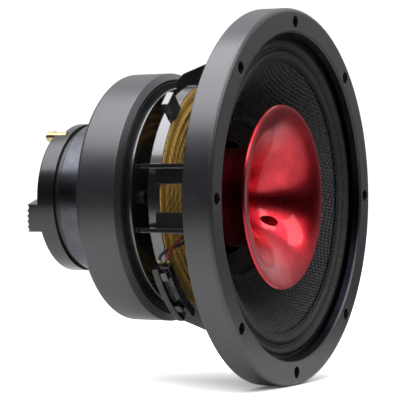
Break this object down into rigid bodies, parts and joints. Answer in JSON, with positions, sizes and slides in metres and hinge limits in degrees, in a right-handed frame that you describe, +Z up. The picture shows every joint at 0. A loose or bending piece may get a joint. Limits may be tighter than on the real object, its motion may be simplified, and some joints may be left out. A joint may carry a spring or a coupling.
{
  "type": "coaxial loudspeaker",
  "caption": "Coaxial car loudspeaker: cone woofer in a spoked cast basket, turned horn in its centre and a compression driver behind a rubber-covered magnet.",
  "frame": {"origin": "centre of the mounting plane, the rear face of the flange, on the axis of the speaker", "axes": "+Y along the axis towards the rear, the front faces -Y, +Z up towards the top mounting hole"},
  "size_m": [0.2112, 0.1523, 0.2112],
  "materials": {
    "trim_ring": "satin charcoal moulding",
    "basket": "gloss black coated casting",
    "zinc_screw": "zinc plated",
    "black_screw": "black oxide",
    "treated_cloth": "coated woven cloth",
    "cone": "black woven fibre",
    "former": "black coated sheet",
    "copper_wire": "enamelled copper winding",
    "spider_cloth": "yellow treated cloth",
    "plated_steel": "zinc plated steel",
    "black_steel": "black phosphate steel",
    "ferrite": "ground ferrite",
    "boot_rubber": "satin rubber",
    "horn": "red anodised, turned",
    "gasket": "foam",
    "hf_sleeve": "satin metal",
    "hf_cover": "satin dark grey moulding",
    "black_plastic": "moulded",
    "titanium": "thin titanium foil",
    "felt": "felt",
    "gold": "gold plated",
    "brass": "plain brass",
    "button_moulding": "moulded push button",
    "lead_red": "braided sleeve",
    "lead_black": "braided sleeve"
  },
  "bodies": {
    "frame": {"trim_ring": "trim_ring", "basket": "basket", "basket_screws": "black_screw", "surround": "treated_cloth", "spider": "spider_cloth", "top_plate": "black_steel", "woofer_magnet": "ferrite", "pole_back_plate": "black_steel", "magnet_boot": "boot_rubber", "horn": "horn", "horn_screws": "zinc_screw", "hf_gasket": "gasket", "hf_mount_studs": "zinc_screw", "hf_housing": "hf_sleeve", "hf_yoke": "plated_steel", "hf_magnet": "ferrite", "hf_top_plate": "plated_steel", "hf_phase_plug": "black_plastic", "hf_diaphragm_frame": "black_plastic", "hf_damping_pad": "felt", "hf_rear_cover": "hf_cover", "hf_cover_screws": "black_screw", "hf_terminals": "gold", "terminal_block": "black_plastic", "terminal_contacts": "brass", "terminal_screw": "black_screw", "lead_positive": "lead_red", "lead_negative": "lead_black"},
    "cone_assembly": {"cone": "cone", "coil_former": "former", "voice_coil": "copper_wire"},
    "hf_dome_assembly": {"hf_diaphragm": "titanium", "hf_voice_coil": "copper_wire"},
    "button_positive": {"terminal_button_positive": "button_moulding"},
    "button_negative": {"terminal_button_negative": "button_moulding"}
  },
  "joints": [
    {"name": "cone_travel", "type": "slide", "parent": "frame", "child": "cone_assembly", "axis": [0, 1, 0], "range_m": [-0.006, 0.006], "stiffness_N_per_m": 2500, "deforming": ["surround", "spider", "lead_positive", "lead_negative"]},
    {"name": "dome_travel", "type": "slide", "parent": "frame", "child": "hf_dome_assembly", "axis": [0, 1, 0], "range_m": [-0.0004, 0.0004], "stiffness_N_per_m": 6000},
    {"name": "button_positive_push", "type": "slide", "parent": "frame", "child": "button_positive", "axis": [0.8348, 0, 0.5505], "range_m": [0, 0.002], "stiffness_N_per_m": 600, "springref_m": -0.002},
    {"name": "button_negative_push", "type": "slide", "parent": "frame", "child": "button_negative", "axis": [0.6211, 0, 0.7837], "range_m": [0, 0.002], "stiffness_N_per_m": 600, "springref_m": -0.002}
  ]
}
